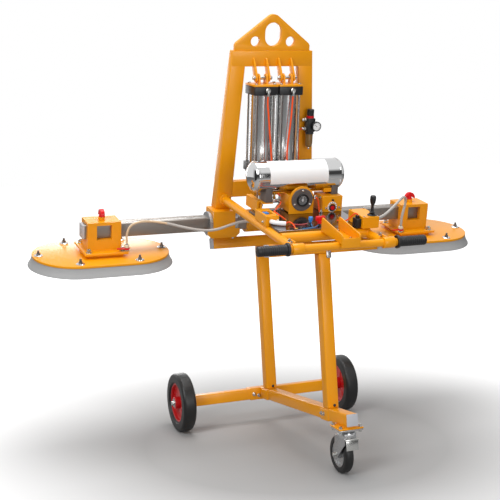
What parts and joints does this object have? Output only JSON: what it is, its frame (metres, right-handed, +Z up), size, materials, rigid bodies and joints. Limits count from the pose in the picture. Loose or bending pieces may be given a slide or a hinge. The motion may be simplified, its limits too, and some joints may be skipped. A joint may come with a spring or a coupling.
{
  "type": "stone vacuum lifter",
  "caption": "Tilting stone vacuum lifter with suction pads on a crossbar, A-shaped mast, air cylinders, chrome tank and handle, resting on a wheeled trolley.",
  "frame": {"origin": "middle of the bounding box, on the floor under the wheels", "axes": "+X along the crossbar to the right seen from the handle, +Y away from the handle, +Z up"},
  "size_m": [2.1042, 1.0876, 1.8223],
  "materials": {
    "aluminium": "ground",
    "black_plastic": "satin",
    "black_tyre": "matt",
    "blue_plastic": "gloss",
    "clear_hose": "ribbed clear hose",
    "dark_steel": "dark polished",
    "galvanised_steel": "zinc plated",
    "grey_rubber": "matt",
    "orange_paint": "orange-yellow gloss paint",
    "polished_steel": "mirror polished",
    "red_plastic": "gloss"
  },
  "bodies": {
    "trolley_and_lifter_frame": {"axle_beam": "orange_paint", "base_beam": "orange_paint", "caster_top_plate": "galvanised_steel", "control_box": "orange_paint", "deck_plate": "dark_steel", "front_leg": "orange_paint", "front_rest_beam": "orange_paint", "gauge_housing": "orange_paint", "handle_bar": "orange_paint", "handle_frame": "orange_paint", "left_grip": "black_plastic", "left_hose": "clear_hose", "left_pivot_housing": "orange_paint", "left_valve_box": "orange_paint", "lifting_plate": "orange_paint", "mast_frame": "orange_paint", "rear_leg": "orange_paint", "rear_rest_beam": "orange_paint", "regulator_body": "black_plastic", "right_grip": "black_plastic", "right_hose": "clear_hose", "right_pivot_housing": "orange_paint", "right_valve_box": "orange_paint", "side_bracket": "orange_paint", "tank_stand": "black_plastic", "tool_cradle": "orange_paint", "vacuum_gauge": "black_plastic", "vacuum_tank": "polished_steel"},
    "left_wheel": {"left_tyre": "black_tyre", "left_rim": "red_plastic"},
    "right_wheel": {"right_tyre": "black_tyre", "right_rim": "red_plastic"},
    "caster_fork_body": {"caster_fork": "galvanised_steel"},
    "caster_wheel": {"caster_tyre": "black_tyre", "caster_rim": "galvanised_steel"},
    "brake_pedal": {"caster_brake_pedal": "galvanised_steel"},
    "pad_frame": {"crossbar": "galvanised_steel", "tilt_yoke": "orange_paint"},
    "stop_button": {"stop_button": "red_plastic"},
    "joystick": {"joystick_lever": "black_plastic"},
    "flow_knob": {"flow_knob": "blue_plastic"},
    "vent_valve": {"vent_valve_handle": "red_plastic"},
    "regulator_knob": {"regulator_knob": "black_plastic"},
    "gauge_needle": {"gauge_needle": "red_plastic"},
    "left_pad": {"left_slide": "orange_paint", "left_pad_plate": "orange_paint", "left_pad_seal": "grey_rubber"},
    "left_clamp_knob": {"left_clamp_knob": "red_plastic"},
    "left_shutoff_lever": {"left_shutoff_lever": "red_plastic"},
    "left_cylinder": {"left_cylinder_caps": "black_plastic", "left_cylinder_barrel": "aluminium"},
    "left_cylinder_rod": {"left_cylinder_rod": "polished_steel"},
    "right_pad": {"right_slide": "orange_paint", "right_pad_plate": "orange_paint", "right_pad_seal": "grey_rubber"},
    "right_clamp_knob": {"right_clamp_knob": "red_plastic"},
    "right_shutoff_lever": {"right_shutoff_lever": "red_plastic"},
    "right_cylinder": {"right_cylinder_caps": "black_plastic", "right_cylinder_barrel": "aluminium"},
    "right_cylinder_rod": {"right_cylinder_rod": "polished_steel"}
  },
  "joints": [
    {"name": "left_wheel_spin", "type": "hinge", "parent": "trolley_and_lifter_frame", "child": "left_wheel", "pos_m": [-0.396, 0.34958, 0.13], "axis": [1, 0, 0], "continuous": true},
    {"name": "right_wheel_spin", "type": "hinge", "parent": "trolley_and_lifter_frame", "child": "right_wheel", "pos_m": [0.396, 0.34958, 0.13], "axis": [1, 0, 0], "continuous": true},
    {"name": "caster_swivel", "type": "hinge", "parent": "trolley_and_lifter_frame", "child": "caster_fork_body", "pos_m": [0, -0.49142, 0], "axis": [0, 0, 1], "continuous": true},
    {"name": "caster_wheel_spin", "type": "hinge", "parent": "caster_fork_body", "child": "caster_wheel", "pos_m": [0, -0.44742, 0.076], "axis": [1, 0, 0], "continuous": true},
    {"name": "brake_pedal_press", "type": "hinge", "parent": "caster_fork_body", "child": "brake_pedal", "pos_m": [0, -0.53372, 0.156], "axis": [1, 0, 0], "range_deg": [0, 15]},
    {"name": "pad_frame_tilt", "type": "hinge", "parent": "trolley_and_lifter_frame", "child": "pad_frame", "pos_m": [0, 0.31919, 0.93052], "axis": [1, 0, 0], "range_deg": [0, 90], "deforming": ["left_hose", "right_hose"]},
    {"name": "left_pad_slide", "type": "slide", "parent": "pad_frame", "child": "left_pad", "axis": [1, 0, 0], "range_m": [0, 0.15]},
    {"name": "left_clamp_knob_turn", "type": "hinge", "parent": "left_pad", "child": "left_clamp_knob", "pos_m": [-0.742, 0.33618, 0.834], "axis": [0, -0.1733, 0.9849], "continuous": true},
    {"name": "left_shutoff_turn", "type": "hinge", "parent": "left_pad", "child": "left_shutoff_lever", "pos_m": [-0.656, 0.24754, 0.8184], "axis": [0, -0.1733, 0.9849], "range_deg": [0, 90]},
    {"name": "left_cylinder_swing", "type": "hinge", "parent": "trolley_and_lifter_frame", "child": "left_cylinder", "pos_m": [-0.0575, 0.17085, 1.55425], "axis": [1, 0, 0], "range_deg": [-0.89, 0]},
    {"name": "left_rod_stroke", "type": "slide", "parent": "left_cylinder", "child": "left_cylinder_rod", "axis": [0, 0.1202, -0.9927], "range_m": [0, 0.1558]},
    {"name": "right_pad_slide", "type": "slide", "parent": "pad_frame", "child": "right_pad", "axis": [-1, 0, 0], "range_m": [0, 0.15]},
    {"name": "right_clamp_knob_turn", "type": "hinge", "parent": "right_pad", "child": "right_clamp_knob", "pos_m": [0.742, 0.33618, 0.834], "axis": [0, -0.1733, 0.9849], "continuous": true},
    {"name": "right_shutoff_turn", "type": "hinge", "parent": "right_pad", "child": "right_shutoff_lever", "pos_m": [0.656, 0.24754, 0.8184], "axis": [0, 0.1733, -0.9849], "range_deg": [0, 90]},
    {"name": "right_cylinder_swing", "type": "hinge", "parent": "trolley_and_lifter_frame", "child": "right_cylinder", "pos_m": [0.0575, 0.17085, 1.55425], "axis": [1, 0, 0], "range_deg": [-0.89, 0]},
    {"name": "right_rod_stroke", "type": "slide", "parent": "right_cylinder", "child": "right_cylinder_rod", "axis": [0, 0.1202, -0.9927], "range_m": [0, 0.1558]},
    {"name": "stop_button_press", "type": "slide", "parent": "trolley_and_lifter_frame", "child": "stop_button", "axis": [0, 0.9849, 0.1733], "range_m": [0, 0.004], "stiffness_N_per_m": 300},
    {"name": "joystick_tilt", "type": "hinge", "parent": "trolley_and_lifter_frame", "child": "joystick", "pos_m": [0.2, -0.3273, 0.9981], "axis": [1, 0, 0], "range_deg": [-20, 20], "stiffness_Nm_per_rad": 0.3},
    {"name": "flow_knob_turn", "type": "hinge", "parent": "trolley_and_lifter_frame", "child": "flow_knob", "pos_m": [-0.03, -0.2421, 0.97552], "axis": [0, -0.1733, 0.9849], "range_deg": [0, 270]},
    {"name": "vent_valve_turn", "type": "hinge", "parent": "trolley_and_lifter_frame", "child": "vent_valve", "pos_m": [0, -0.26672, 0.97119], "axis": [0, -0.1733, 0.9849], "range_deg": [0, 90]},
    {"name": "regulator_turn", "type": "hinge", "parent": "trolley_and_lifter_frame", "child": "regulator_knob", "pos_m": [0.182, 0.20189, 1.38943], "axis": [0, -0.1733, 0.9849], "continuous": true},
    {"name": "gauge_needle_turn", "type": "hinge", "parent": "trolley_and_lifter_frame", "child": "gauge_needle", "pos_m": [0, -0.09552, 1.05249], "axis": [0, -0.9849, -0.1733], "range_deg": [0, 270], "stiffness_Nm_per_rad": 0.0005}
  ],
  "couplings": [
    {"joint": "left_cylinder_swing", "follows": "pad_frame_tilt", "ratio": -0.009557},
    {"joint": "left_rod_stroke", "follows": "pad_frame_tilt", "m_per_rad": 0.098853},
    {"joint": "right_cylinder_swing", "follows": "pad_frame_tilt", "ratio": -0.009557},
    {"joint": "right_rod_stroke", "follows": "pad_frame_tilt", "m_per_rad": 0.098853}
  ]
}
